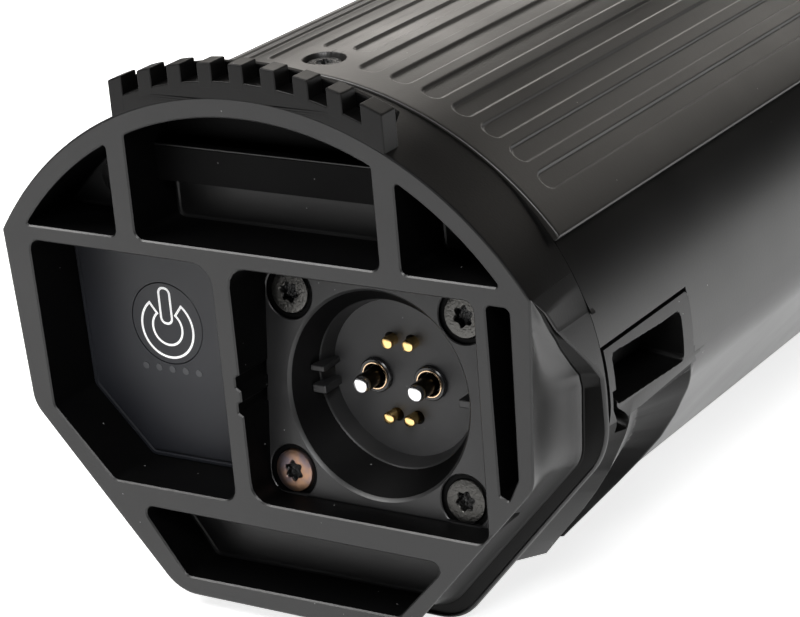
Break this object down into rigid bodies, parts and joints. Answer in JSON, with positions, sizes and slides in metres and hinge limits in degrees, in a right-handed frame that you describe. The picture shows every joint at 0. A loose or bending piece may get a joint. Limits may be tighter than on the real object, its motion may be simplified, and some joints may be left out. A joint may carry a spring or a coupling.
{
  "type": "e-bike downtube battery",
  "caption": "Long arched battery pack for an e-bike down tube, with ribbed top cover, side grips, push-button display and recessed round multi-pin connector in its end face.",
  "frame": {"origin": "middle of the pack's bounding box in X and Y, on the plane it rests on", "axes": "+Y runs from the connector end to the rear end, +Z points out of the ribbed top, +X is to the right when the connector end is seen from the front"},
  "size_m": [0.0998, 0.46, 0.086],
  "materials": {
    "cap_plastic": "satin",
    "shell_plastic": "satin",
    "cover_plastic": "satin",
    "grip_plastic": "satin",
    "socket_plastic": "satin",
    "panel_film": "satin",
    "button_film": "satin",
    "lens_plastic": "gloss",
    "dark_steel": "satin",
    "pin_steel": "bright",
    "gold_brass": "bright",
    "sleeve_brass": "dull",
    "bush_brass": "satin",
    "seal_rubber": "matte",
    "carrier_plastic": "matte",
    "vent_plastic": "matte",
    "board_green": "gloss",
    "chip_black": "satin",
    "spreader_alu": "satin",
    "fuse_plastic": "gloss",
    "tray_plastic": "satin",
    "cell_can": "satin",
    "nickel": "bright",
    "lead_rubber": "satin",
    "ribbon_plastic": "satin",
    "pad_foam": "matte"
  },
  "bodies": {
    "pack": {"end_cap": "cap_plastic", "lower_housing": "shell_plastic", "top_cover": "cover_plastic", "top_cover_screws": "dark_steel", "top_cover_seals": "seal_rubber", "front_seal": "seal_rubber", "end_cap_screws": "dark_steel", "side_grip_right": "grip_plastic", "side_grip_left": "grip_plastic", "display_panel": "panel_film", "status_lenses": "lens_plastic", "display_board": "board_green", "button_dome": "pin_steel", "connector_housing": "socket_plastic", "connector_screws": "dark_steel", "contact_carrier": "carrier_plastic", "power_pins": "pin_steel", "power_pin_sleeves": "sleeve_brass", "signal_pins": "gold_brass", "power_leads": "lead_rubber", "signal_lead": "ribbon_plastic", "bms_board": "board_green", "bms_components": "chip_black", "heat_spreader": "spreader_alu", "board_screws": "dark_steel", "main_fuse": "fuse_plastic", "cell_tray_1": "tray_plastic", "cell_tray_2": "tray_plastic", "cell_tray_3": "tray_plastic", "cell_tray_4": "tray_plastic", "cell_tray_5": "tray_plastic", "cell_tray_6": "tray_plastic", "cells_1": "cell_can", "cells_2": "cell_can", "cells_3": "cell_can", "cells_4": "cell_can", "cells_5": "cell_can", "nickel_plates_1": "nickel", "nickel_plates_2": "nickel", "nickel_plates_3": "nickel", "nickel_plates_4": "nickel", "nickel_plates_5": "nickel", "nickel_plates_6": "nickel", "sense_harness": "ribbon_plastic", "cell_pads": "pad_foam", "rear_seal": "seal_rubber", "rear_cap": "cap_plastic", "rear_cap_screws": "dark_steel", "rear_bushes": "bush_brass", "vent_plug": "vent_plastic"},
    "button": {"power_button": "button_film"}
  },
  "joints": [
    {"name": "button_press", "type": "slide", "parent": "pack", "child": "button", "axis": [0, 1, 0], "range_m": [0, 0.0006], "stiffness_N_per_m": 1500, "springref_m": -0.0006, "deforming": ["button_dome"]}
  ]
}
